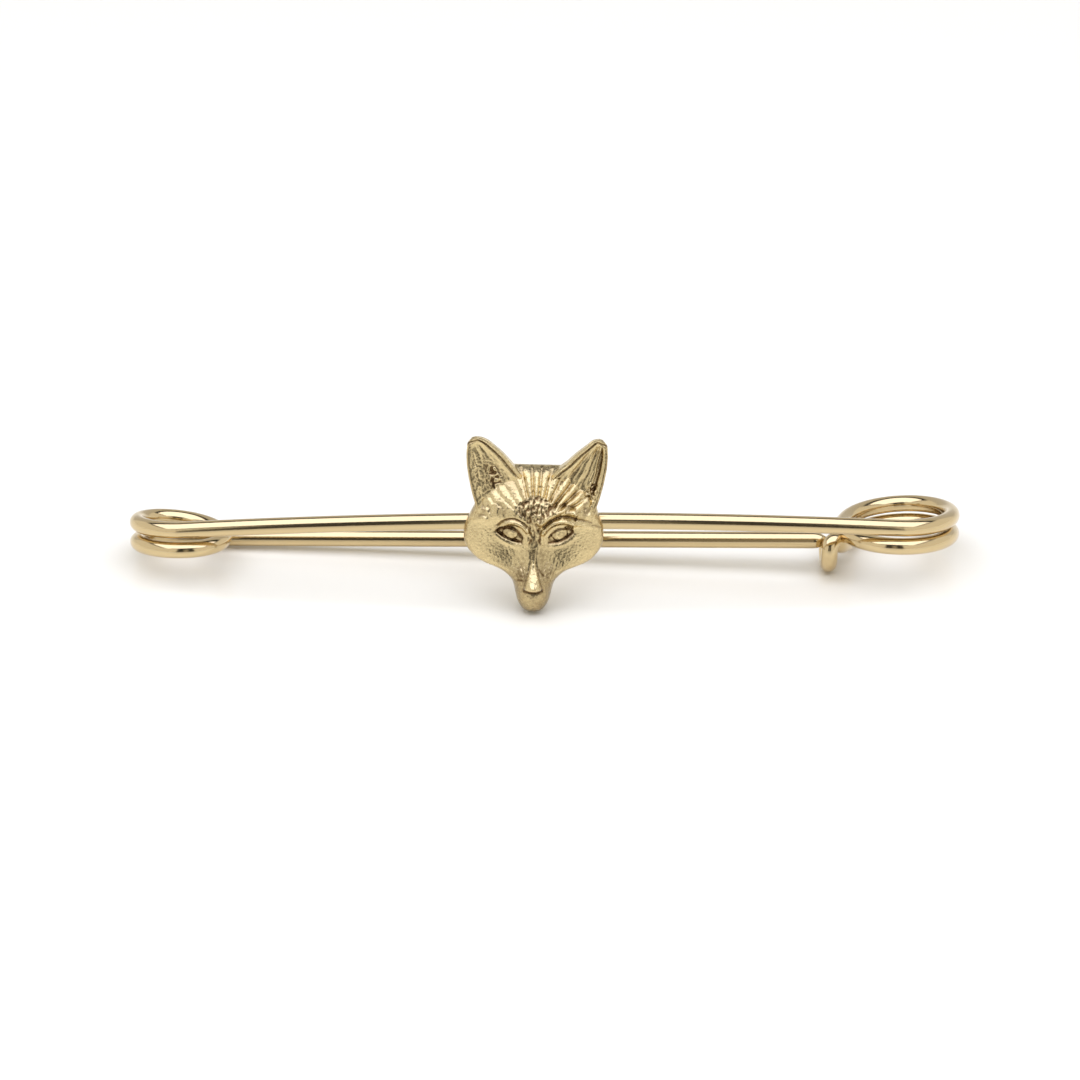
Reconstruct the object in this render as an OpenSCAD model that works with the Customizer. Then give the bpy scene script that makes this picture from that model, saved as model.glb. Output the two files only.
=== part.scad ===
// Fox mask stock pin: a cast mask soldered to a sprung wire pin.
// The pin is drawn in its own frame: x to the right, y to the back, z up the mask, with the
// front bar's left end at y = 0 and z = 0. It is then laid on the ground on the chin, the
// spring coil and the catch hook.

/* [Wire] */
// Wire diameter
wire_d = 1.25; // [1:0.05:1.6]
// Front bar, between the coil and the catch loop
bar_len = 52.8; // [45:0.5:70]
// Bow of the bar to the front
bow_front = 1.2; // [0.6:0.1:2]
// Bow of the bar upwards
bow_up = 0.95; // [0.4:0.05:1.6]

/* [Spring coil] */
// Width of the coil between wire centres
coil_w = 6.35; // [5.6:0.05:7.5]
// Depth of the coil between wire centres
coil_d = 6.35; // [5.8:0.05:7.5]
// Height gained by one turn of the coil
coil_pitch = 1.5; // [1.35:0.05:1.9]
// Outward shift of the coil's rear side
coil_lean = 0.8; // [0:0.1:1.4]
// Dip of the coil's inner side, in degrees
coil_dip = 2.7; // [0:0.1:4]

/* [Catch loop] */
// Width of the loop between wire centres
loop_w = 8.1; // [7:0.1:9.5]
// Depth of the loop between wire centres
loop_d = 10; // [9.4:0.1:11.5]
// Rise of the bar's right end over its left end
loop_lift = 0.3; // [0:0.05:0.8]
// Height lost by one turn of the loop
loop_pitch = 1.4; // [1.35:0.05:1.8]
// Outward shift of the loop's rear side
loop_lean = 0.7; // [0:0.1:1.4]
// Rise of the loop's outer side, in degrees
loop_rise = 1.2; // [0:0.1:3]

/* [Catch hook] */
// Distance of the hook from the end of the bar
hook_inset = 4.85; // [4.7:0.05:5.4]
// Free room between the legs of the hook
hook_gap = 1.75; // [1.6:0.05:2.4]
// Room under the tongue's axis down to the wire of the hook
hook_room = 1.14; // [1:0.01:1.6]
// Turn of the hook under the tongue, in degrees
hook_sweep = 165; // [150:1:175]

/* [Tongue] */
// Distance of the tongue's axis behind the bar, at the hook
tongue_back = 3.65; // [3.4:0.05:4.4]
// Depth of the tongue's axis under the bar, at the hook
tongue_drop = 1.6; // [1.5:0.05:2]
// Length of the tapered point
taper_len = 3.8; // [2:0.1:5]
// Diameter left at the very point
point_d = 0.12; // [0.08:0.02:0.3]
// Slit between the coil and the root of the tongue
root_gap = 0.25; // [0.22:0.01:0.4]
// Straight lead that the coil has before the slit
coil_lead = 4.3; // [3.5:0.1:5]

/* [Mask] */
// Width across the cheeks
mask_w = 10.35; // [9:0.05:12]
// Height from the chin to the ear tips
mask_h = 13.35; // [12:0.05:15]
// Depth from the flat back to the nose
mask_depth = 3.45; // [3:0.05:4.2]
// Rise of the chin's underside to the back
chin_tuck = 0.9; // [0.6:0.05:1]
// Height of the bar's axis over the bottom of the chin
bar_level = 6.8; // [6:0.05:7.4]
// How far the bar is let into the back of the mask
bar_seat = 0.18; // [0.1:0.02:0.3]
// Offset of the mask to the left of the middle of the bar
mask_shift = 0.29; // [0:0.01:1]
// Turn of the mask to the right, in degrees
mask_turn = 1.2; // [0:0.1:3]
// Width of one eye
eye_w = 1.85; // [1.5:0.05:2.2]
// Height of one eye
eye_h = 1.0; // [0.8:0.05:1.2]
// Distance of each eye from the middle
eye_x = 1.75; // [1.5:0.05:2]
// Thickness of the brow ridges
brow_d = 0.5; // [0.3:0.05:0.7]
// Width of the nose pad
nose_w = 1.25; // [1:0.05:1.6]
// Depth of the furrows on the forehead
furrow = 0.1; // [0.04:0.01:0.16]

/* [Hidden] */
gold = [0.83, 0.70, 0.45];
wire_r = wire_d / 2;
sides = 12;

// Small helpers
function lerp(a, b, k) = a + (b - a) * k;
function unit(v) = v / norm(v);
function bump(v, width) = exp(-v * v / (width * width));

// A table's column at height h, in smooth steps from row to row
function row_at(rows, h, i = 0) =
    i >= len(rows) - 2 || h < rows[i + 1][0] ? i : row_at(rows, h, i + 1);
function column(rows, h, c) =
    let (i = row_at(rows, h),
         a = rows[max(i - 1, 0)], b = rows[i], d = rows[i + 1], e = rows[min(i + 2, len(rows) - 1)],
         span = d[0] - b[0],
         k = min(max((h - b[0]) / span, 0), 1),
         slope_b = i == 0 ? (d[c] - b[c]) : (d[c] - a[c]) / (d[0] - a[0]) * span,
         slope_d = i >= len(rows) - 2 ? (d[c] - b[c]) : (e[c] - b[c]) / (e[0] - b[0]) * span)
    (2 * k * k * k - 3 * k * k + 1) * b[c] + (k * k * k - 2 * k * k + k) * slope_b
    + (3 * k * k - 2 * k * k * k) * d[c] + (k * k * k - k * k) * slope_d;

// The bar's ends turn into the coil and the loop at this angle, so that the wire runs smoothly
end_turn = atan(4 * bow_front / bar_len);

// Spring coil: one and a half turns, from the rear at the bottom to the front at the top
coil_turn = 540;
function coil_at(a) =
    let (y = coil_d / 2 * (1 + cos(a)),
         x = -coil_w / 2 * sin(a) - coil_lean * y / coil_d)
    [x, y, coil_pitch * (a - coil_turn) / 360 - tan(coil_dip) * x];

// Front bar, bowed to the front and upwards
coil_end = coil_at(coil_turn - end_turn);
function bar_at(k) =
    let (bow = 1 - pow(2 * k - 1, 2))
    [lerp(coil_end.x, bar_len, k), lerp(coil_end.y, 0, k) - bow_front * bow,
     lerp(coil_end.z, loop_lift, k) + bow_up * bow];

// Catch loop: a little over one and a half turns, from the front at the top to the rear below
loop_turn = 578;
function loop_at(a) =
    let (y = loop_d / 2 * (1 - cos(a)),
         x = loop_w / 2 * sin(a) + loop_lean * y / loop_d)
    [bar_len + x, y, loop_lift - loop_pitch * a / 360 + tan(loop_rise) * x];

// Catch hook: on from the loop to the front, down, under the tongue and up behind it
hook_x = bar_len - hook_inset;
leg = (hook_gap + wire_d) / 2;
hook_low = -tongue_drop - hook_room - wire_r;
hook_mid = hook_low + leg;
function hook_arc(a) =
    [hook_x, tongue_back - leg * cos(a), hook_mid - leg * sin(a)];
loop_end = loop_at(loop_turn);
loop_way = unit(loop_at(loop_turn + 1) - loop_at(loop_turn - 1));
bend_start = [hook_x + 0.88 * wire_r, tongue_back - 0.59 * leg, hook_mid + 0.6 * wire_r];
bend_way = unit([-0.61, -0.67, 1]);
function curve(a, b, c, d, k) =
    pow(1 - k, 3) * a + 3 * pow(1 - k, 2) * k * b + 3 * (1 - k) * k * k * c + k * k * k * d;
hook_path = concat(
    [for (k = [0.1:0.1:1])
        curve(loop_end, loop_end + 0.143 * loop_w * loop_way,
              bend_start - 1.08 * wire_d * bend_way, bend_start, k)],
    [for (k = [0.2:0.2:1])
        curve(bend_start, bend_start + 0.36 * wire_d * bend_way,
              hook_arc(0) + [0, 0, 0.22 * wire_d], hook_arc(0), k)],
    [for (k = [1:11]) hook_arc(hook_sweep * k / 11)]);

// Tongue: straight from the coil's rear to the hook
tongue_root = coil_at(0);
tongue_tip = [hook_x, tongue_back, -tongue_drop];
tongue_way = unit(tongue_tip - tongue_root);

wire_path = concat(
    [for (k = [1:-0.5:0.5]) coil_at(0) + k * coil_lead * tongue_way],
    [for (i = [0:38]) coil_at((coil_turn - end_turn) * i / 38)],
    [for (i = [1:17]) bar_at(i / 18)],
    [for (i = [0:40]) loop_at(lerp(end_turn, loop_turn, i / 40))],
    hook_path);

// A round wire swept along its path, ring by ring, without any twist
function way_at(path, i) = unit(path[min(i + 1, len(path) - 1)] - path[max(i - 1, 0)]);
function square_to(v, way) = unit(v - (v * way) * way);
wire_last = len(wire_path) - 1;
wire_up = [for (i = 0, v = square_to([0, 0, 1], way_at(wire_path, 0)); i <= wire_last;
                i = i + 1, v = square_to(v, way_at(wire_path, min(i, wire_last)))) v];
function wire_ring(i) =
    let (across = cross(wire_up[i], way_at(wire_path, i)))
    [for (j = [0:sides - 1])
        wire_path[i] + wire_r * (cos(360 * j / sides) * across + sin(360 * j / sides) * wire_up[i])];

// A closed skin over rings of equal length
module skin(rings) {
    n = len(rings[0]);
    m = len(rings);
    faces = concat(
        [[for (j = [0:n - 1]) j]],
        [for (i = [0:m - 2], j = [0:n - 1]) [i * n + j, (i + 1) * n + j, i * n + (j + 1) % n]],
        [for (i = [0:m - 2], j = [0:n - 1])
            [i * n + (j + 1) % n, (i + 1) * n + j, (i + 1) * n + (j + 1) % n]],
        [[for (j = [0:n - 1]) m * n - 1 - j]]);
    polyhedron([for (ring = rings) for (p = ring) p], faces);
}

module wire() {
    skin([for (i = [0:wire_last]) wire_ring(i)]);
    translate(wire_path[wire_last]) sphere(wire_r * 0.98, $fn = 16);
}

// The mask has its own frame: x to the right, z up from the chin, y to the back from the back plane
half_w = mask_w / 2;
FACE = [
    // height, half width, rim depth, crown depth, muzzle ridge, ridge width
    [0.000, 0.060, 0.24, 0.30, 0.00, 0.20],
    [0.012, 0.135, 0.24, 0.44, 0.00, 0.20],
    [0.040, 0.200, 0.22, 0.57, 0.00, 0.20],
    [0.080, 0.232, 0.19, 0.67, 0.00, 0.20],
    [0.122, 0.252, 0.17, 0.74, 0.00, 0.20],
    [0.170, 0.277, 0.16, 0.79, 0.06, 0.19],
    [0.221, 0.350, 0.14, 0.76, 0.13, 0.18],
    [0.262, 0.500, 0.12, 0.64, 0.20, 0.18],
    [0.296, 0.730, 0.11, 0.55, 0.25, 0.19],
    [0.354, 0.920, 0.10, 0.50, 0.25, 0.20],
    [0.407, 0.990, 0.09, 0.49, 0.22, 0.20],
    [0.448, 1.000, 0.09, 0.49, 0.18, 0.22],
    [0.509, 0.980, 0.09, 0.50, 0.15, 0.28],
    [0.570, 0.915, 0.11, 0.53, 0.12, 0.36],
    [0.647, 0.820, 0.15, 0.56, 0.09, 0.42],
    [0.715, 0.680, 0.18, 0.55, 0.06, 0.44],
    [0.775, 0.520, 0.22, 0.50, 0.03, 0.44],
    [0.825, 0.410, 0.24, 0.41, 0.00, 0.44],
    [0.848, 0.340, 0.24, 0.30, 0.00, 0.44]];
face_top = FACE[len(FACE) - 1][0];
face_rows = 42;
face_columns = 36;

// Height of the relief on the face; s runs from cheek to cheek, h up the mask, as shares
function furrows(s, h) =
    let (up = (h - 0.60) / (face_top - 0.60))
    up < 0 ? 0 : furrow * min(up * 3, 1) * (0.5 + 0.5 * cos(360 * 6 * s));
function face_depth(s, h) =
    let (rim = column(FACE, h, 2), crown = column(FACE, h, 3),
         x = s * column(FACE, h, 1),
         nose = 0.05 * bump(h - 0.195, 0.035) * bump(x, 0.15),
         stop = -0.05 * bump(h - 0.5, 0.05) * bump(x, 0.12),
         socket = -0.07 * (bump(abs(x) - 0.31, 0.13) * bump(h - 0.475, 0.04)))
    mask_depth * (rim + (crown - rim) * pow(1 - pow(abs(s), 2.4), 0.5)
                  + column(FACE, h, 4) * bump(x, column(FACE, h, 5)) * (1 - s * s)
                  + nose + stop + socket)
    + furrows(s, h) * (1 - pow(abs(s), 6));
function chin_z(h, depth) =
    h * mask_h + chin_tuck * pow(max(0, 1 - h / 0.16), 2) * max(0, 1 - depth / mask_depth / 0.42);
function face_ring(h) =
    let (w = half_w * column(FACE, h, 1))
    concat([for (j = [0:face_columns])
                let (k = j / face_columns, s = sin(lerp(-90, 90, k)) * 0.4 + lerp(-1, 1, k) * 0.6,
                     depth = face_depth(s, h))
                [s * w, -depth, chin_z(h, depth)]],
           [[w, 0, chin_z(h, 0)], [-w, 0, chin_z(h, 0)]]);

module face() {
    skin([for (i = [0:face_rows]) face_ring(face_top * pow(i / face_rows, 1.12))]);
}

EAR = [
    // along the ear, outer x, outer height, inner x, inner height, hollow
    [0.00, 0.780, 0.570, 0.22, 0.785, 0.35],
    [0.20, 0.875, 0.667, 0.33, 0.835, 0.95],
    [0.45, 0.955, 0.779, 0.475, 0.890, 1.00],
    [0.70, 0.992, 0.874, 0.64, 0.943, 0.70],
    [0.90, 0.975, 0.957, 0.79, 0.988, 0.25],
    [1.00, 0.905, 0.992, 0.855, 1.000, 0.00]];
ear_rim = 0.39 * mask_depth;
ear_hollow = 0.22 * mask_depth;
ear_columns = 12;
function ear_depth(s, t) =
    lerp(lerp(0.8, 1, t), 1, s) * ear_rim
    - ear_hollow * column(EAR, t, 5) * pow(sin(180 * s), 0.8) * (1 - 0.12 * cos(360 * 3 * s));
function ear_ring(t) =
    let (outer = [half_w * column(EAR, t, 1), 0, mask_h * column(EAR, t, 2)],
         inner = [half_w * column(EAR, t, 3), 0, mask_h * column(EAR, t, 4)],
         back = ear_rim * lerp(0.1, 0.6, t))
    concat([for (j = [0:ear_columns])
                lerp(inner, outer, j / ear_columns) - [0, ear_depth(1 - j / ear_columns, t), 0]],
           [outer - [0, back, 0], inner - [0, back, 0]]);

module ear() {
    skin([for (i = [0:14]) ear_ring(i / 14)]);
}

// Eyes, brows and nose are raised on the face
eye_level = 0.468;
module eye() {
    translate([eye_x, -face_depth(eye_x / half_w, eye_level) + 0.02 * eye_h, eye_level * mask_h])
        rotate([0, -18, 0]) scale([eye_w / 2, 0.3 * eye_h, eye_h / 2]) sphere(1, $fn = 16);
}
BROW = [
    // from the middle, height
    [0.12, 0.500],
    [0.22, 0.545],
    [0.34, 0.567],
    [0.48, 0.573],
    [0.62, 0.560],
    [0.74, 0.535]];
function brow_at(i) =
    [BROW[i][0] * half_w,
     -face_depth(BROW[i][0] / column(FACE, BROW[i][1], 1), BROW[i][1]) + 0.16 * brow_d,
     BROW[i][1] * mask_h];
module brow() {
    for (i = [0:len(BROW) - 2]) hull() {
        translate(brow_at(i)) sphere(brow_d / 2, $fn = 8);
        translate(brow_at(i + 1)) sphere(brow_d / 2, $fn = 8);
    }
}
nose_level = 0.198;
module nose() {
    translate([0, -face_depth(0, nose_level) + 0.13 * nose_w, nose_level * mask_h])
        scale([nose_w / 2, 0.26 * nose_w, 0.37 * nose_w]) sphere(1, $fn = 16);
}

module mask() {
    face();
    for (side = [0, 1]) mirror([side, 0, 0]) {
        ear();
        eye();
        brow();
    }
    nose();
}

// The mask stands on the middle of the bar, with its back over the bar's front
mask_k = 0.5 - mask_shift / bar_len;
mask_foot = bar_at(mask_k) + [0, -(wire_r - bar_seat), -bar_level];

// The pin lies on the chin's lowest point and on two rounds of wire, the coil's and the hook's
function turned(p) =
    mask_foot + [p.x * cos(mask_turn) + p.z * sin(mask_turn), p.y,
                 -p.x * sin(mask_turn) + p.z * cos(mask_turn)];
chin_points = [for (i = [0:8]) for (p = face_ring(face_top * pow(i / face_rows, 1.12))) turned(p)];
function lowest(points, up) =
    let (low = min([for (p = points) p * up])) [for (p = points) if (p * up <= low + 1e-9) p][0];
foot = [hook_x, tongue_back, hook_mid];
foot_r = leg + wire_r;
function floor_up(up, k) =
    k == 0 ? up :
    let (a = lowest(chin_points, up), b = coil_at(0) - wire_r * up, c = foot - foot_r * up)
    floor_up(unit(cross(c - a, b - a)), k - 1);
up = floor_up([0, -0.25, 0.97], 6);
lean = atan2(-up.y, up.z);
roll = atan2(up.x, norm([up.y, up.z]));
floor_z = up * (foot - foot_r * up);
function lean_x(p) = [p.x, p.y * cos(lean) + p.z * sin(lean), -p.y * sin(lean) + p.z * cos(lean)];
function laid(p) =
    let (q = lean_x(p))
    [q.x * cos(roll) - q.z * sin(roll), q.y, q.x * sin(roll) + q.z * cos(roll)];

// The origin is under the middle of the whole pin
reach = concat(
    [for (i = [0:wire_last]) for (p = wire_ring(i)) laid(p)],
    [for (h = [0:0.02:face_top]) laid(turned([0, -face_depth(0, h), h * mask_h]))]);
middle_x = (max([for (p = reach) p.x]) + min([for (p = reach) p.x])) / 2;
middle_y = (max([for (p = reach) p.y]) + min([for (p = reach) p.y])) / 2;

module laid_down() {
    translate([-middle_x, -middle_y, -floor_z])
        rotate([0, -roll, 0]) rotate([-lean, 0, 0]) children();
}

module fox_pin() {
    color(gold) laid_down() {
        wire();
        translate(mask_foot) rotate([0, mask_turn, 0]) mask();
    }
}

tongue_len = norm(tongue_tip - tongue_root);
tongue_start = coil_lead + root_gap;
module pin_tongue() {
    color(gold) laid_down() translate(tongue_root)
        rotate([0, 90 - asin(tongue_way.z), atan2(tongue_way.y, tongue_way.x)]) {
            translate([0, 0, tongue_start])
                cylinder(h = tongue_len - taper_len - tongue_start, r = wire_r, $fn = 64);
            translate([0, 0, tongue_len - taper_len])
                cylinder(h = taper_len, r1 = wire_r, r2 = point_d / 2, $fn = 64);
        }
}

fox_pin();
pin_tongue();
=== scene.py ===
import math

import bpy
import numpy as np
from mathutils import Matrix, Vector, noise


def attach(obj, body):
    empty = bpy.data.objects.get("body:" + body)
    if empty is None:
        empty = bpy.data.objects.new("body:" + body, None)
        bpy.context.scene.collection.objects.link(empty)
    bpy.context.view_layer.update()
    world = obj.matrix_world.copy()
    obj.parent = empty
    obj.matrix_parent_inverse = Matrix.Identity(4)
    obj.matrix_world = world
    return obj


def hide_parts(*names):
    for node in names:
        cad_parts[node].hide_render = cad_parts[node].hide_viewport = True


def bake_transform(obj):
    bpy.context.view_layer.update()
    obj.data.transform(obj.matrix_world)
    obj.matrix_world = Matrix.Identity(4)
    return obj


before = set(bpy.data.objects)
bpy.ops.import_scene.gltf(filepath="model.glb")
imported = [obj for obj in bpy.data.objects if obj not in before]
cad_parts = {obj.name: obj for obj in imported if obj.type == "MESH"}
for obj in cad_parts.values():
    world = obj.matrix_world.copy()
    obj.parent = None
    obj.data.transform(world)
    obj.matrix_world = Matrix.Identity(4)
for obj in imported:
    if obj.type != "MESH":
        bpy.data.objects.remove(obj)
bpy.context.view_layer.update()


# Wire frame
# One round gold wire, drawn and hand-bent: a spring coil at the left, a front bar bowed a little
# forwards and upwards, a larger catch loop at the right, and the catch hook that turns up under the
# tongue. It is polished, and its hook end is rounded off.
wire_r, wire_sides = 0.625, 40  # sizes are in mm and angles in degrees
bar_len, bow_front, bow_up = 52.8, 1.2, 0.95
coil_w, coil_d, coil_pitch, coil_lean, coil_dip, coil_sweep = 6.35, 6.35, 1.5, 0.8, 2.7, 540
loop_w, loop_d, loop_pitch, loop_lean, loop_rise, loop_lift = 8.1, 10.0, 1.4, 0.7, 1.2, 0.3
loop_sweep = 578
hook_inset, hook_gap, hook_room, hook_sweep = 4.85, 1.75, 1.14, 165
dome_len, dome_sweep = 0.9 * wire_r, 86
tongue_back, tongue_drop = 3.65, 1.6
lean, roll = math.radians(14.3691), math.radians(0.580125)
middle = np.array([26.823, 2.37692, -4.35184])
turn = math.degrees(math.atan(4 * bow_front / bar_len))


def laid(points):
    """Points of the pin's own frame, in mm, laid on the ground in the row's frame, in metres."""
    x, y, z = np.asarray(points, float).reshape(-1, 3).T
    y, z = y * math.cos(lean) + z * math.sin(lean), z * math.cos(lean) - y * math.sin(lean)
    x, z = x * math.cos(roll) - z * math.sin(roll), x * math.sin(roll) + z * math.cos(roll)
    return (np.stack([x, y, z], 1) - middle) * 0.001


def coil_at(a):
    """Points of the spring coil at angles from the tongue's root."""
    a = np.radians(a)
    y = coil_d / 2 * (1 + np.cos(a))
    x = -coil_w / 2 * np.sin(a) - coil_lean * y / coil_d
    z = coil_pitch * (np.degrees(a) - coil_sweep) / 360 - math.tan(math.radians(coil_dip)) * x
    return np.stack([x, y, z], -1)


def loop_at(a):
    """Points of the catch loop at angles from the bar's end."""
    a = np.radians(a)
    y = loop_d / 2 * (1 - np.cos(a))
    x = loop_w / 2 * np.sin(a) + loop_lean * y / loop_d
    z = loop_lift - loop_pitch * np.degrees(a) / 360 + math.tan(math.radians(loop_rise)) * x
    return np.stack([bar_len + x, y, z], -1)


def bar_at(k):
    """Points of the bar, from the coil at 0 to the loop at 1."""
    k = np.asarray(k, float)[:, None]
    bow = 1 - (2 * k - 1) ** 2
    return (coil_at(coil_sweep - turn) * (1 - k) + np.array([bar_len, 0, loop_lift]) * k
            + bow * [0, -bow_front, bow_up])


def curve(a, b, c, d, k):
    """Points of a bend from a to d that leaves towards b and arrives from c."""
    a, b, c, d = (np.asarray(p, float) for p in (a, b, c, d))
    k = np.asarray(k, float)[:, None]
    return (1 - k) ** 3 * a + 3 * (1 - k) ** 2 * k * b + 3 * (1 - k) * k * k * c + k ** 3 * d


def sweep_nodes():
    """A node group that sweeps a round wire along a path of edges, thinned by the path's own thickness."""
    g = bpy.data.node_groups.new("wire sweep", "GeometryNodeTree")
    sockets = [g.interface.new_socket(name, in_out=way, socket_type=kind) for name, way, kind in (
        ("Path", "INPUT", "NodeSocketGeometry"),
        ("Wire radius", "INPUT", "NodeSocketFloat"),
        ("Sides", "INPUT", "NodeSocketInt"),
        ("Metal", "INPUT", "NodeSocketMaterial"),
        ("Wire", "OUTPUT", "NodeSocketGeometry"),
    )]
    given, out, line, tube, ring, thickness, smooth, real, coat = (g.nodes.new(kind) for kind in (
        "NodeGroupInput", "NodeGroupOutput", "GeometryNodeMeshToCurve", "GeometryNodeCurveToMesh",
        "GeometryNodeCurvePrimitiveCircle", "GeometryNodeInputNamedAttribute",
        "GeometryNodeSetShadeSmooth", "GeometryNodeRealizeInstances", "GeometryNodeSetMaterial",
    ))
    thickness.data_type = "FLOAT"
    thickness.inputs["Name"].default_value = "thickness"
    tube.inputs["Fill Caps"].default_value = True
    for start, end in (
        (given.outputs["Path"], line.inputs["Mesh"]),
        (line.outputs["Curve"], tube.inputs["Curve"]),
        (thickness.outputs["Attribute"], tube.inputs["Scale"]),
        (given.outputs["Wire radius"], ring.inputs["Radius"]),
        (given.outputs["Sides"], ring.inputs["Resolution"]),
        (ring.outputs["Curve"], tube.inputs["Profile Curve"]),
        (tube.outputs["Mesh"], smooth.inputs["Geometry"]),
        (smooth.outputs["Geometry"], real.inputs["Geometry"]),
        (real.outputs["Geometry"], coat.inputs["Geometry"]),
        (given.outputs["Metal"], coat.inputs["Material"]),
        (coat.outputs["Geometry"], out.inputs["Wire"]),
    ):
        g.links.new(start, end)
    return g, [socket.identifier for socket in sockets[1:4]]


def swept(name, path, thickness, radius, metal, group):
    """A solid wire object along a path given in metres."""
    me = bpy.data.meshes.new(name)
    me.from_pydata([tuple(p) for p in path], [(i, i + 1) for i in range(len(path) - 1)], [])
    share = me.attributes.new("thickness", "FLOAT", "POINT")
    share.data.foreach_set("value", np.asarray(thickness, np.float32))
    o = bpy.data.objects.new(name, me)
    bpy.context.scene.collection.objects.link(o)
    mod = o.modifiers.new("sweep", "NODES")
    mod.node_group, (radius_id, sides_id, metal_id) = group
    mod[radius_id], mod[sides_id], mod[metal_id] = radius, wire_sides, metal
    done = bpy.data.meshes.new_from_object(o.evaluated_get(bpy.context.evaluated_depsgraph_get()))
    o.modifiers.clear()
    o.data = done
    return o


def graded(m, low, high, dark=0.0, bright=1.0):
    """A node that takes a noise between dark and bright to a value between low and high."""
    node = m.node_tree.nodes.new("ShaderNodeMapRange")
    for name, value in (("From Min", dark), ("From Max", bright), ("To Min", low), ("To Max", high)):
        node.inputs[name].default_value = value
    return node


def polished_gold():
    """Gold with a hand polish that is a little rubbed here and there."""
    m = bpy.data.materials.new("polished gold")
    m.use_nodes = True
    n, link = m.node_tree.nodes, m.node_tree.links
    skin = n["Principled BSDF"]
    skin.inputs["Base Color"].default_value = (0.635, 0.495, 0.275, 1)
    skin.inputs["Metallic"].default_value = 1.0
    place, rub = n.new("ShaderNodeTexCoord"), n.new("ShaderNodeTexNoise")
    spread = graded(m, 0.11, 0.17)
    rub.inputs["Scale"].default_value = 900.0
    link.new(place.outputs["Object"], rub.inputs["Vector"])
    link.new(rub.outputs["Fac"], spread.inputs["Value"])
    link.new(spread.outputs["Result"], skin.inputs["Roughness"])
    return m


gold = polished_gold()
sweep = sweep_nodes()
hook_x = bar_len - hook_inset
leg = (hook_gap + 2 * wire_r) / 2
hook_mid = -tongue_drop - hook_room - wire_r + leg
leg_top = np.array([hook_x, tongue_back - leg, hook_mid])
bend_start = np.array([hook_x + 0.88 * wire_r, tongue_back - 0.59 * leg, hook_mid + 0.6 * wire_r])
bend_way = np.array([-0.61, -0.67, 1.0])
bend_way /= np.linalg.norm(bend_way)
loop_end = loop_at(loop_sweep)
loop_way = loop_at(loop_sweep + 1) - loop_at(loop_sweep - 1)
loop_way /= np.linalg.norm(loop_way)
# how far the wire keeps its way out of the loop, into the bend, out of it and into the leg
keep_out, keep_in, keep_on, keep_down = 0.143 * loop_w, 2.16 * wire_r, 0.72 * wire_r, 0.44 * wire_r
arc = np.radians(np.linspace(0, hook_sweep, 40))[1:]
u_turn = np.stack([np.full(len(arc), hook_x), tongue_back - leg * np.cos(arc),
                   hook_mid - leg * np.sin(arc)], 1)
tip_way = np.array([0, math.sin(arc[-1]), -math.cos(arc[-1])])
dome = np.radians(np.linspace(0, dome_sweep, 9))[1:]
frame_path = np.concatenate([
    coil_at(np.linspace(0, coil_sweep - turn, 180)),
    bar_at(np.linspace(0, 1, 90)[1:-1]),
    loop_at(np.linspace(turn, loop_sweep, 200)),
    curve(loop_end, loop_end + keep_out * loop_way, bend_start - keep_in * bend_way, bend_start,
          np.linspace(0, 1, 50)[1:]),
    curve(bend_start, bend_start + keep_on * bend_way, leg_top + [0, 0, keep_down], leg_top,
          np.linspace(0, 1, 20)[1:]),
    u_turn,
    u_turn[-1] + dome_len * np.sin(dome)[:, None] * tip_way,
])
frame_thickness = np.concatenate([np.ones(len(frame_path) - len(dome)), np.cos(dome)])
wire = swept("wire_frame", laid(frame_path), frame_thickness, wire_r * 0.001, gold, sweep)
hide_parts("fox_pin")
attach(wire, "frame")


# Tongue
# The straight pointed end of the same wire, sprung by the coil. It stays at full thickness up to the
# hook, where it is filed to a short point.
taper_len, taper_fullness, point_d, spring_len, bend_len = 1.2, 2.2, 0.2, 4.8, 4.55
tongue_root = coil_at(0)
tongue_tip = np.array([hook_x, tongue_back, -tongue_drop])
tongue_len = np.linalg.norm(tongue_tip - tongue_root)
tongue_way = (tongue_tip - tongue_root) / tongue_len
along = np.concatenate([
    np.linspace(0, spring_len, 30),
    np.linspace(spring_len, tongue_len - taper_len, 60)[1:],
    np.linspace(tongue_len - taper_len, tongue_len, 30)[1:],
])
point = point_d / 2 / wire_r
to_tip = np.clip((tongue_len - along) / taper_len, 0, 1)
tongue_thickness = point + (1 - point) * (1 - (1 - to_tip) ** taper_fullness)
tongue = swept("tongue", laid(tongue_root + along[:, None] * tongue_way), tongue_thickness,
               wire_r * 0.001, gold, sweep)
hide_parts("pin_tongue")
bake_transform(tongue)


# Fox mask
# A cast gold fox's face with pricked hollow ears, soldered to the front of the bar. The cast relief
# is raised: brow ridges, almond eyes, a fluted forehead and a plain rounded muzzle. It has a satin
# finish; its grooves, sockets, muzzle, chin and side edges are painted darker as shade.
mask_w, mask_h, mask_depth, chin_tuck = 10.35, 13.35, 3.45, 0.9
bar_level, bar_seat, mask_shift, mask_turn = 6.8, 0.18, 0.29, math.radians(1.2)
flute_step, flute_foot, nose_top, nose_foot = 11.0, 0.52, 0.335, 0.165
face_rows, face_columns, ear_rows, ear_columns, ear_len = 300, 236, 92, 74, 5.2
half_w = mask_w / 2
tall = mask_h / half_w
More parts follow.
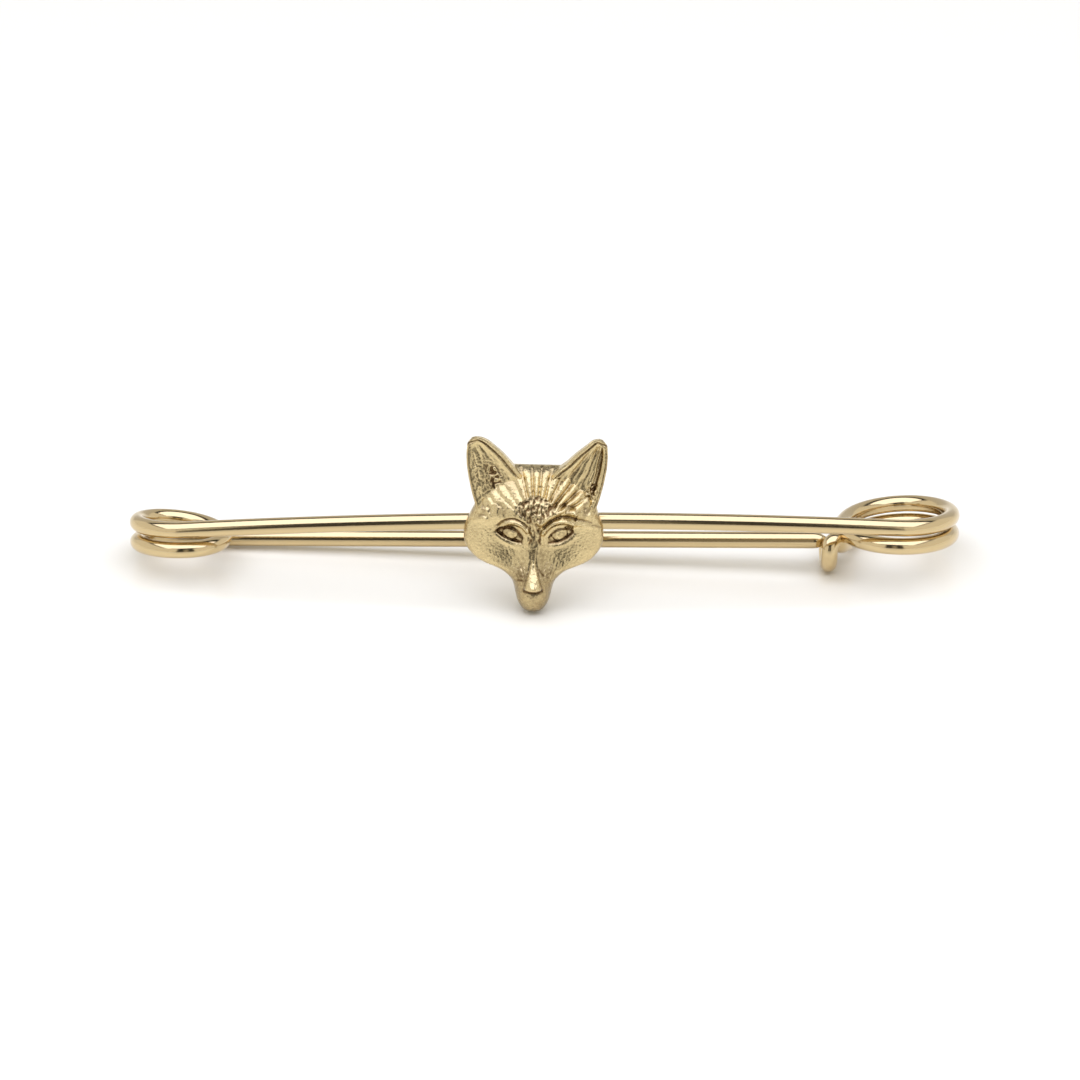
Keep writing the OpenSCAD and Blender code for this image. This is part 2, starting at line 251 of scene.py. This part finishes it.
# Heights are shares of the mask's height from chin to ear tips, and x goes from -1 to 1 across it.
FACE = np.array([
    # height, half width, middle, rim depth, crown depth, muzzle ridge, ridge width
    [0.025, 0.045, -0.015, 0.24, 0.30, 0.00, 0.20],
    [0.031, 0.100, -0.015, 0.24, 0.42, 0.00, 0.20],
    [0.045, 0.155, -0.015, 0.23, 0.55, 0.00, 0.20],
    [0.066, 0.200, -0.015, 0.21, 0.64, 0.00, 0.20],
    [0.090, 0.228, -0.015, 0.19, 0.70, 0.00, 0.20],
    [0.122, 0.250, -0.015, 0.17, 0.74, 0.00, 0.18],
    [0.160, 0.272, -0.015, 0.16, 0.77, 0.02, 0.15],
    [0.180, 0.287, -0.015, 0.15, 0.78, 0.14, 0.13],
    [0.221, 0.350, -0.015, 0.14, 0.74, 0.12, 0.14],
    [0.262, 0.500, -0.020, 0.12, 0.64, 0.14, 0.16],
    [0.296, 0.730, -0.020, 0.11, 0.56, 0.16, 0.17],
    [0.354, 0.910, -0.026, 0.10, 0.50, 0.16, 0.19],
    [0.407, 0.980, -0.026, 0.09, 0.49, 0.15, 0.20],
    [0.448, 0.990, -0.026, 0.09, 0.50, 0.15, 0.22],
    [0.509, 0.970, -0.021, 0.09, 0.53, 0.13, 0.28],
    [0.570, 0.905, -0.016, 0.11, 0.61, 0.12, 0.36],
    [0.610, 0.862, -0.008, 0.13, 0.60, 0.11, 0.40],
    [0.647, 0.820, 0.000, 0.15, 0.565, 0.09, 0.42],
    [0.715, 0.680, 0.010, 0.18, 0.47, 0.06, 0.44],
    [0.775, 0.520, 0.015, 0.20, 0.375, 0.03, 0.44],
    [0.798, 0.470, 0.018, 0.18, 0.325, 0.02, 0.44],
    [0.815, 0.425, 0.020, 0.15, 0.255, 0.01, 0.44],
    [0.830, 0.375, 0.020, 0.11, 0.16, 0.00, 0.44],
    [0.838, 0.340, 0.020, 0.08, 0.085, 0.00, 0.44],
])
PATCH = np.array([
    # height, middle, half width, strength
    [0.405, 0.000, 0.050, 0.00],
    [0.430, -0.010, 0.090, 0.50],
    [0.500, -0.020, 0.085, 0.75],
    [0.550, -0.030, 0.095, 0.95],
    [0.585, 0.000, 0.205, 1.00],
    [0.620, 0.010, 0.280, 1.00],
    [0.655, 0.000, 0.225, 1.00],
    [0.685, -0.010, 0.110, 0.80],
    [0.700, -0.010, 0.050, 0.00],
])
EYES = np.array([
    # x, height, half length, half height, tilt, ball x, ball height, ball radius
    [-0.365, 0.474, 0.190, 0.092, -0.36, -0.355, 0.482, 0.112],
    [0.360, 0.478, 0.172, 0.100, 0.36, 0.335, 0.486, 0.120],
])
STROKES = np.array([
    # start x, start height, end x, end height, arch, width, lift, darkness
    [-0.540, 0.500, -0.115, 0.502, 0.115, 0.034, 0.23, 0.00],
    [-0.540, 0.522, -0.120, 0.526, 0.112, 0.016, -0.09, 0.85],
    [-0.535, 0.490, -0.185, 0.458, 0.095, 0.024, -0.09, 1.00],
    [-0.550, 0.488, -0.195, 0.430, -0.035, 0.022, -0.09, 1.00],
    [-0.560, 0.462, -0.200, 0.405, -0.035, 0.030, 0.06, 0.00],
    [-0.118, 0.498, -0.120, 0.425, 0.020, 0.024, 0.11, 0.00],
    [-0.080, 0.515, -0.085, 0.425, 0.020, 0.013, -0.05, 0.50],
    [0.110, 0.490, 0.540, 0.535, 0.105, 0.036, 0.27, 0.00],
    [0.540, 0.535, 0.840, 0.505, 0.010, 0.022, 0.12, 0.00],
    [0.120, 0.522, 0.560, 0.566, 0.095, 0.019, -0.11, 0.90],
    [0.560, 0.562, 0.780, 0.538, 0.010, 0.019, -0.11, 0.65],
    [0.800, 0.522, 0.900, 0.506, 0.010, 0.014, -0.05, 0.45],
    [0.080, 0.550, 0.560, 0.600, 0.100, 0.050, 0.36, 0.00],
    [0.560, 0.600, 0.850, 0.580, -0.020, 0.032, 0.15, 0.00],
    [0.060, 0.575, 0.560, 0.626, 0.110, 0.016, -0.06, 0.50],
    [0.195, 0.460, 0.525, 0.492, 0.088, 0.016, -0.08, 0.75],
    [0.200, 0.432, 0.525, 0.484, -0.048, 0.022, -0.09, 1.00],
    [0.195, 0.408, 0.560, 0.462, -0.045, 0.030, 0.06, 0.00],
    [0.115, 0.510, 0.105, 0.425, -0.020, 0.026, 0.12, 0.00],
    [0.070, 0.510, 0.070, 0.425, -0.010, 0.013, -0.05, 0.50],
    [-0.135, 0.168, 0.105, 0.168, -0.014, 0.026, -0.17, 1.00],
    [-0.050, 0.325, -0.150, 0.180, 0.000, 0.015, -0.04, 0.25],
    [0.010, 0.325, 0.110, 0.180, 0.000, 0.015, -0.04, 0.38],
    [-0.230, 0.222, -0.170, 0.226, 0.005, 0.014, -0.04, 0.55],
    [0.060, 0.288, 0.125, 0.255, 0.000, 0.015, -0.03, 0.50],
    [0.015, 0.215, 0.010, 0.188, 0.000, 0.010, -0.03, 0.60],
    [-0.850, 0.592, -0.720, 0.600, 0.015, 0.034, 0.14, 0.00],
    [-0.860, 0.540, -0.710, 0.552, 0.015, 0.036, 0.14, 0.00],
    [-0.800, 0.566, -0.740, 0.572, 0.005, 0.022, -0.06, 0.45],
])
EAR = np.array([
    # along the ear, outer x, outer height, inner x, inner height
    [0.00, 0.800, 0.560, 0.200, 0.790],
    [0.20, 0.890, 0.665, 0.320, 0.842],
    [0.45, 0.960, 0.779, 0.455, 0.902],
    [0.70, 0.992, 0.870, 0.610, 0.957],
    [0.88, 0.990, 0.937, 0.725, 0.990],
    [0.95, 0.976, 0.970, 0.795, 1.000],
    [1.00, 0.918, 0.997, 0.868, 1.003],
])


def column(rows, h, c):
    """A table's column at each height, in smooth steps from row to row."""
    t, v = rows[:, 0], rows[:, c]
    slope = np.gradient(v, t)
    h = np.clip(np.asarray(h, float), t[0], t[-1])
    i = np.clip(np.searchsorted(t, h, "right") - 1, 0, len(t) - 2)
    w = t[i + 1] - t[i]
    k = (h - t[i]) / w
    return ((2 * k ** 3 - 3 * k ** 2 + 1) * v[i] + (k ** 3 - 2 * k ** 2 + k) * w * slope[i]
            + (3 * k ** 2 - 2 * k ** 3) * v[i + 1] + (k ** 3 - k ** 2) * w * slope[i + 1])


def bump(v, width):
    """A hill of height 1 at 0 that falls off over the width."""
    return np.exp(-(v / width) ** 2)


def ramp(a, b, v):
    """A smooth step from 0 at a to 1 at b."""
    k = np.clip((v - a) / (b - a), 0, 1)
    return k * k * (3 - 2 * k)


def grain(a, b, seed):
    """Smooth noise of two coordinates, about -1 to 1."""
    levels = [noise.noise((p, q, seed)) for p, q in zip(np.ravel(a), np.ravel(b))]
    return 2 * np.array(levels).reshape(np.shape(a))


def near_arc(x, y, ax, ay, bx, by, arch):
    """Distance to an arc from a to b that rises by arch on its left."""
    pieces = 7
    k = np.linspace(0, 1, pieces + 1)
    rise = 4 * k * (1 - k) * arch / math.hypot(bx - ax, by - ay)
    px, py = ax + (bx - ax) * k - (by - ay) * rise, ay + (by - ay) * k + (bx - ax) * rise
    best = np.full(np.shape(x), np.inf)
    for i in range(pieces):
        dx, dy = px[i + 1] - px[i], py[i + 1] - py[i]
        on = np.clip(((x - px[i]) * dx + (y - py[i]) * dy) / (dx * dx + dy * dy), 0, 1)
        best = np.minimum(best, np.hypot(x - px[i] - on * dx, y - py[i] - on * dy))
    return best


def face_depth(s, h):
    """Depth of the face before its fine relief, in shares of the mask's depth, from edge to edge in s."""
    rim, crown = column(FACE, h, 3), column(FACE, h, 4)
    x = s * column(FACE, h, 1)
    return (rim + (crown - rim) * np.sqrt(np.clip(1 - np.abs(s) ** 2.4, 0, 1))
            + column(FACE, h, 5) * bump(x, column(FACE, h, 6)) * (1 - s * s))


def relief(x, h):
    """Fine relief of the face in mm, and its darkness from 0 to 1: painted shade in its grooves, sockets,
    muzzle and chin, with its own stipple and tone.
    """
    y = h * tall
    dots, satin, cloud = grain(x * 24, y * 24, 3.1), grain(x * 33, y * 33, 6.1), grain(x * 5, y * 5, 4.2)
    chin, muzzle, top_strip = ramp(0.22, 0.16, h), ramp(0.34, 0.22, h), ramp(0.77, 0.80, h)
    # stippled patch on the brow, going on as a band between the eyes
    across = np.abs(x - column(PATCH, h, 1)) / column(PATCH, h, 2)
    patch = column(PATCH, h, 3) * (1 - ramp(0.85, 1.12, across))
    hairs = grain(x * 34, y * 15, 8.8)
    up = 0.009 * satin - 0.05 * patch * (1 + 0.6 * dots + 0.8 * hairs)
    dark = 0.05 + 0.05 * satin + 0.08 * cloud + patch * (0.48 + 0.35 * dots + 0.65 * hairs)
    # flutes fanning up the forehead, fine at its left and carved deep at its right, with painted shade in
    # their grooves, stronger in the top strip
    angle = np.degrees(np.arctan2(x, y - flute_foot * tall))
    wave = np.cos(np.radians(angle * 360 / flute_step + 25 * np.sin(angle * 0.11)))
    groove = np.clip(-wave, 0, 1) ** 2
    cut = 0.25 + 0.75 * ramp(-34, -16, angle) + 0.45 * ramp(22, 36, angle)
    fan = (1 - patch) * ramp(0.575, 0.65, h) * (1 - ramp(62, 82, np.abs(angle))) * cut
    up += fan * (0.075 * wave - 0.06 * groove)
    dark += fan * groove * (0.27 + 0.10 * top_strip)
    # eyes: a ball in an almond socket, the socket painted dark as shade and the ball less so
    socket = np.zeros(np.shape(x))
    for ex, eh, long, high, tilt, bx, bh, ball_r in EYES:
        almond = ((x - ex) / long) ** 2 + ((y - eh * tall - (x - ex) * tilt) / high) ** 2
        inside = 1 - ramp(0.70, 1.15, almond)
        ball = np.sqrt(np.clip(1 - ((x - bx) ** 2 + (y - bh * tall) ** 2) / ball_r ** 2, 0, 1)) * inside
        up += -0.17 * inside + ball * (0.28 + 0.04 * dots)
        dark += inside * (0.34 - 0.20 * ball + 0.25 * dots)
        socket = np.maximum(socket, inside)
    # lids, brows, lip and single strokes; the cut strokes are painted dark as shade
    for ax, ah, bx, bh, arch, width, lift, shade in STROKES:
        line = bump(near_arc(x, y, ax, ah * tall, bx, bh * tall, arch), width)
        up += lift * line
        dark += shade * line
    # nose: a flat wedge that widens down to the lip, its colour painted lighter as a highlight
    down_nose = ramp(nose_top, nose_foot, h)
    wedge = 1 - ramp(0.75, 1.15, np.abs(x + 0.020) / (0.025 + 0.10 * down_nose))
    wedge *= ramp(0.166, 0.172, h) * ramp(0.36, 0.30, h)
    up += wedge * (0.03 + 0.10 * down_nose)
    dark *= 1 - 0.6 * wedge
    # fur: short strokes that run back from the nose, left out on the smooth cheeks and the chin, with
    # painted shade in their troughs
    way, reach = np.degrees(np.arctan2(x, y - 0.04 * tall)), np.hypot(x, y - 0.16 * tall)
    strokes = grain(way * 0.55, reach * 5.5, 7.7)
    beside = bump(x, 0.23) * bump(h - 0.36, 0.07) + bump(np.abs(x) - 0.19, 0.08) * bump(h - 0.26, 0.06)
    temple = bump(np.abs(x) - 0.72, 0.15) * bump(h - 0.62, 0.05)
    forehead = ramp(0.52, 0.60, h) * (0.5 + 0.5 * ramp(-0.2, 0.3, x))
    fur = 0.05 + 0.55 * forehead + 0.35 * beside + 0.5 * temple
    fur *= (1 - chin) * (1 - 0.7 * top_strip) * (1 - socket) * (1 - patch)
    up += fur * (0.05 * strokes + 0.02 * dots)
    dark += fur * np.clip(-strokes, 0, 1) * 0.45
    # painted shade over the muzzle and darker again towards the chin's bottom, and a darker stipple between
    # the eyes and beside the nose
    dark += (1 - wedge) * (0.22 * beside * (1 + 0.6 * dots) + 0.33 * muzzle + 0.14 * ramp(0.12, 0.02, h))
    return up, np.clip(dark, 0, 1)


def face_sheet():
    """Points of the face, row by row up the mask, and their darkness."""
    k = np.linspace(0, 1, face_rows)
    h = FACE[0, 0] + (FACE[-1, 0] - FACE[0, 0]) * (0.25 * k ** 1.6 + 0.75 * k)
    q = np.linspace(0, 1, face_columns)
    s, h = np.meshgrid(0.4 * np.sin(np.pi * (q - 0.5)) + 0.6 * (2 * q - 1), h)
    x = s * column(FACE, h, 1) + column(FACE, h, 2)
    up, dark = relief(x, h)
    # painted shade along the face's side edges, where it turns away from the light
    dark = np.clip(dark + 0.25 * ramp(0.93, 1.0, np.abs(s)), 0, 1)
    to_edge = (1 - np.abs(s) ** 8) * (1 - 0.6 * ramp(0.815, 0.838, h))
    depth = mask_depth * face_depth(s, h) + up * to_edge
    tuck = chin_tuck * np.clip(1 - h / 0.16, 0, 1) ** 2
    z = h * mask_h + tuck * np.clip(1 - depth / mask_depth / 0.42, 0, 1)
    return np.stack([x * half_w, -depth, z], -1), dark


ear_rise = np.linspace(0, 1, ear_rows) ** 0.9


def ear_sheet(side):
    """Points of one ear from its base to its tip, rim to rim across its hollow front."""
    q, t = np.meshgrid(np.linspace(0, 1, ear_columns), ear_rise)
    ox, oh, ix, ih = (column(EAR, t, c) for c in (1, 2, 3, 4))
    if side > 0:
        slim = ramp(0.1, 0.4, t) * ramp(1.0, 0.8, t)
        ix, ih = ix + 0.025 * slim, ih - 0.010 * slim
    x, h = ix + (ox - ix) * q, ih + (oh - ih) * q
    wide = np.hypot(ox - ix, (oh - ih) * tall) * half_w
    edge = np.minimum(q * wide, (1 - t) * ear_len)
    outer = (1 - q) * wide
    dots, satin = (grain(x * f + 31 * side, h * tall * f, 5.5) for f in (28, 36))
    along = grain(q * 13 + 9 * side, t * 5, 1.7)
    rim = 0.10 * bump(edge - 0.17, 0.09) - 0.20 * ramp(0.16, 0.0, edge)
    line = bump(edge - 0.30, 0.07) * ramp(0.03, 0.10, t)
    hollow = ramp(0.20, 0.9, edge) * ramp(0.08, 0.7, outer)
    if side < 0:
        # the left ear is smooth, with a cluster of deep dark nicks and flecks beside its outer rim
        deep = bump(q - 0.46, 0.16) * bump(t - 0.28, 0.19) * np.clip(0.55 + 2.0 * dots, 0, 1.3)
        fleck = ramp(0.42, 0.60, q) * ramp(0.80, 0.50, t) * ramp(0.06, 0.2, outer)
        up = -0.14 * deep + 0.04 * fleck * dots + 0.02 * along * hollow
        dark = 1.45 * deep + 0.25 * fleck * np.clip(-dots, 0, 1)
        hollow_depth = 0.13
    else:
        # the right ear is ribbed along, with a groove beside its outer rim and flecks at its base; its
        # hollow, rib troughs and that groove are painted darker as shade
        to_tip = 1 - ramp(0.8, 0.95, t)
        ribs = np.cos(2 * np.pi * (q * 4.3 + 0.5 * t) + along) * ramp(0.25, 0.5, edge) * to_tip
        side_line = bump(outer - 0.42 - 0.25 * (1 - t), 0.07)
        side_line *= ramp(0.12, 0.25, t) * (1 - ramp(0.85, 0.95, t))
        fleck = ramp(0.60, 0.75, q) * (1 - ramp(0.25, 0.40, t))
        up = 0.055 * ribs - 0.12 * side_line + 0.14 * fleck * dots
        dark = (0.12 * hollow + 0.4 * np.clip(-ribs, 0, 1) ** 2 + 0.9 * side_line
                + 0.5 * fleck * np.clip(-dots, 0, 1))
        hollow_depth = 0.27
    depth = 1.45 - 0.15 * t - 0.25 * q + rim - hollow_depth * hollow - 0.10 * line
    depth += up * hollow + 0.004 * satin * ramp(0.1, 0.3, edge)
    depth -= 0.12 * (1 - ramp(0.0, 0.10, t)) + 0.10 * bump(outer, 0.08)
    # the groove inside the rim is painted dark as shade, and a band just in from the outer edge is darkened
    dark = np.clip(dark * ramp(0.1, 0.3, edge) + 0.9 * line + 0.5 * bump(outer - 0.13, 0.05), 0, 1)
    return np.stack([side * x * half_w, -depth, h * mask_h], -1), dark


def closed(front, back_depth, flip):
    """A closed skin: the front sheet, walls round its edges, and a plain back at the given depth."""
    rows, columns = front.shape[:2]
    ends = front[:, [0, -1]].copy()
    ends[..., 1] = -back_depth
    points = np.concatenate([front.reshape(-1, 3), ends.reshape(-1, 3)])
    n, faces = rows * columns, []
    for i in range(rows - 1):
        faces += [(i * columns + j, i * columns + j + 1, (i + 1) * columns + j + 1, (i + 1) * columns + j)
                  for j in range(columns - 1)]
    smooth = len(faces)
    for i in range(rows - 1):
        a, b, c, d = n + 2 * i, n + 2 * i + 1, n + 2 * i + 3, n + 2 * i + 2
        first, last = i * columns, i * columns + columns - 1
        faces += [(d, c, b, a), (first, first + columns, d, a), (last + columns, last, b, c)]
    faces.append((*range(columns - 1, -1, -1), n, n + 1))
    faces.append((*range(n - columns, n), n + 2 * rows - 1, n + 2 * rows - 2))
    return points, [f[::-1] for f in faces] if flip else faces, smooth


def satin_gold():
    """Satin gold that turns brown where the mesh's groove value is high, which carries painted shade and the
    cast's own tone, with fine dark specks.
    """
    m = bpy.data.materials.new("satin cast gold")
    m.use_nodes = True
    n, link = m.node_tree.nodes, m.node_tree.links
    skin = n["Principled BSDF"]
    skin.inputs["Metallic"].default_value = 1.0
    place, grit = n.new("ShaderNodeTexCoord"), n.new("ShaderNodeTexNoise")
    grit.inputs["Scale"].default_value = 5500.0
    painted_shade_and_tone, both, mix = n.new("ShaderNodeAttribute"), n.new("ShaderNodeMath"), n.new("ShaderNodeMix")
    painted_shade_and_tone.attribute_name = "groove"
    both.operation, both.use_clamp = "ADD", True
    mix.data_type = "RGBA"
    mix.inputs["A"].default_value = (0.70, 0.560, 0.300, 1)
    mix.inputs["B"].default_value = (0.13, 0.075, 0.03, 1)
    lift = n.new("ShaderNodeBump")
    lift.inputs["Strength"].default_value = 0.5
    lift.inputs["Distance"].default_value = 0.00003
    speck, rough = graded(m, 0.16, -0.06, 0.35, 0.65), graded(m, 0.20, 0.32)
    for start, end in (
        (place.outputs["Object"], grit.inputs["Vector"]),
        (grit.outputs["Fac"], speck.inputs["Value"]),
        (speck.outputs["Result"], both.inputs[0]),
        (painted_shade_and_tone.outputs["Fac"], both.inputs[1]),
        (both.outputs["Value"], mix.inputs["Factor"]),
        (mix.outputs["Result"], skin.inputs["Base Color"]),
        (grit.outputs["Fac"], rough.inputs["Value"]),
        (rough.outputs["Result"], skin.inputs["Roughness"]),
        (grit.outputs["Fac"], lift.inputs["Height"]),
        (lift.outputs["Normal"], skin.inputs["Normal"]),
    ):
        link.new(start, end)
    return m


face, face_dark = face_sheet()
skins = [(closed(face, 0.0, False), face_dark)]
for side in (-1, 1):
    ear, ear_dark = ear_sheet(side)
    ear_back = 0.13 + 0.65 * ear_rise[:, None]
    skins.append((closed(ear, ear_back, side < 0), ear_dark))
# darkness of each point: painted shade in grooves, hollows, muzzle and edges, and the gold's own tone
points, faces, painted_shade_and_tone, soft = [], [], [], []
for (skin_points, skin_faces, smooth), dark in skins:
    start = sum(len(p) for p in points)
    points.append(skin_points)
    faces += [tuple(start + v for v in f) for f in skin_faces]
    painted_shade_and_tone += [dark.ravel(), np.zeros(len(skin_points) - dark.size)]
    soft += [True] * smooth + [False] * (len(skin_faces) - smooth)
x, y, z = np.concatenate(points).T
foot = bar_at([0.5 - mask_shift / bar_len])[0] + [0, -(wire_r - bar_seat), -bar_level]
stood = foot + np.stack([x * math.cos(mask_turn) + z * math.sin(mask_turn), y,
                         z * math.cos(mask_turn) - x * math.sin(mask_turn)], 1)
me = bpy.data.meshes.new("fox_mask")
me.from_pydata([tuple(p) for p in laid(stood)], [], faces)
grooves = me.attributes.new("groove", "FLOAT", "POINT")
grooves.data.foreach_set("value", np.concatenate(painted_shade_and_tone).astype(np.float32))
me.materials.append(satin_gold())
me.polygons.foreach_set("use_smooth", soft)
mask = bpy.data.objects.new("fox_mask", me)
bpy.context.scene.collection.objects.link(mask)
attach(mask, "frame")


# Ground and light
# A glossy white table under a large soft box, with a white wall behind, white cards at the sides and
# the dark room in front, as jewellery is photographed.
def plain(name, colour, rough, glow=0.0):
    """One plain colour. A card that glows is black beneath, so it throws no light back."""
    m = bpy.data.materials.new(name)
    m.use_nodes = True
    skin = m.node_tree.nodes["Principled BSDF"]
    skin.inputs["Base Color"].default_value = (*colour, 1) if glow == 0 else (0, 0, 0, 1)
    skin.inputs["Specular IOR Level"].default_value = 0.5 if glow == 0 else 0.0
    skin.inputs["Roughness"].default_value = rough
    skin.inputs["Emission Color"].default_value = (*colour, 1)
    skin.inputs["Emission Strength"].default_value = glow
    return m


def card(name, centre, facing, size, material):
    """A flat sheet of the stage, in metres."""
    me = bpy.data.meshes.new(name)
    w, d = size[0] / 2, size[1] / 2
    me.from_pydata([(-w, -d, 0), (w, -d, 0), (w, d, 0), (-w, d, 0)], [], [(0, 1, 2, 3)])
    me.materials.append(material)
    o = bpy.data.objects.new(name, me)
    o.matrix_world = Matrix.Translation(centre) @ Vector(facing).to_track_quat("Z", "Y").to_matrix().to_4x4()
    bpy.context.scene.collection.objects.link(o)


card("table", centre=(0, 0.38, 0), facing=(0, 0, 1), size=(1.6, 1.04),
     material=plain("white acrylic", (0.95, 0.92, 0.80), 0.22))
card("soft box", centre=(0, -0.085, 0.42), facing=(0, 0, -1), size=(0.9, 0.59),
     material=plain("soft box", (0.97, 1.0, 1.17), 1.0, glow=2.15))
card("wall", centre=(0, 0.55, 0.27), facing=(0, -1, 0), size=(1.6, 0.56),
     material=plain("white wall", (1.0, 1.0, 1.0), 1.0, glow=0.66))
card("camera side", centre=(0.007, -0.52, 0.175), facing=(0, 1, 0), size=(0.1, 0.35),
     material=plain("grey card", (1.0, 0.94, 0.86), 1.0, glow=0.36))
white = plain("white card", (1.0, 0.99, 0.97), 1.0, glow=0.95)
for side in (-1, 1):
    card("side card", centre=(side * 0.5, 0.1, 0.2), facing=(-side, 0, 0), size=(0.9, 0.4), material=white)
    card("front card", centre=(side * 0.34, -0.40, 0.2), facing=(-side * 0.45, 1, 0), size=(0.36, 0.4),
         material=white)
world = bpy.data.worlds.new("room")
world.use_nodes = True
world.node_tree.nodes["Background"].inputs["Color"].default_value = (0.05, 0.05, 0.05, 1)
bpy.context.scene.world = world
bpy.context.scene.view_settings.view_transform = "Standard"


# Camera
# It looks down on the pin from in front at about 30 degrees, from about 31 cm, with a long lens, as in
# the photograph. Its distance and tilt are in the photograph's pixels, of which one is px metres there.
photo_side, lens_px, distance_px, tilt_px = 1080, 4225, 4200, 51.6
px = 0.0746e-3
elevation, tilt_up, tip = math.radians(29.8), math.atan(tilt_px / lens_px), math.radians(0.645)
aim = Vector((-0.4e-3, -3.3e-3, 0.0))
lens = bpy.data.cameras.new("camera")
lens.sensor_width, lens.lens = 36.0, 36.0 * lens_px / photo_side
lens.clip_start, lens.clip_end = 0.01, 10.0
camera = bpy.data.objects.new("camera", lens)
bpy.context.scene.collection.objects.link(camera)
stand = aim + distance_px * px * Vector((0, -math.cos(elevation), math.sin(elevation)))
camera.matrix_world = (Matrix.Translation(stand) @ Matrix.Rotation(math.pi / 2 - elevation + tilt_up, 4, "X")
                       @ Matrix.Rotation(tip, 4, "Z"))
bpy.context.scene.camera = camera
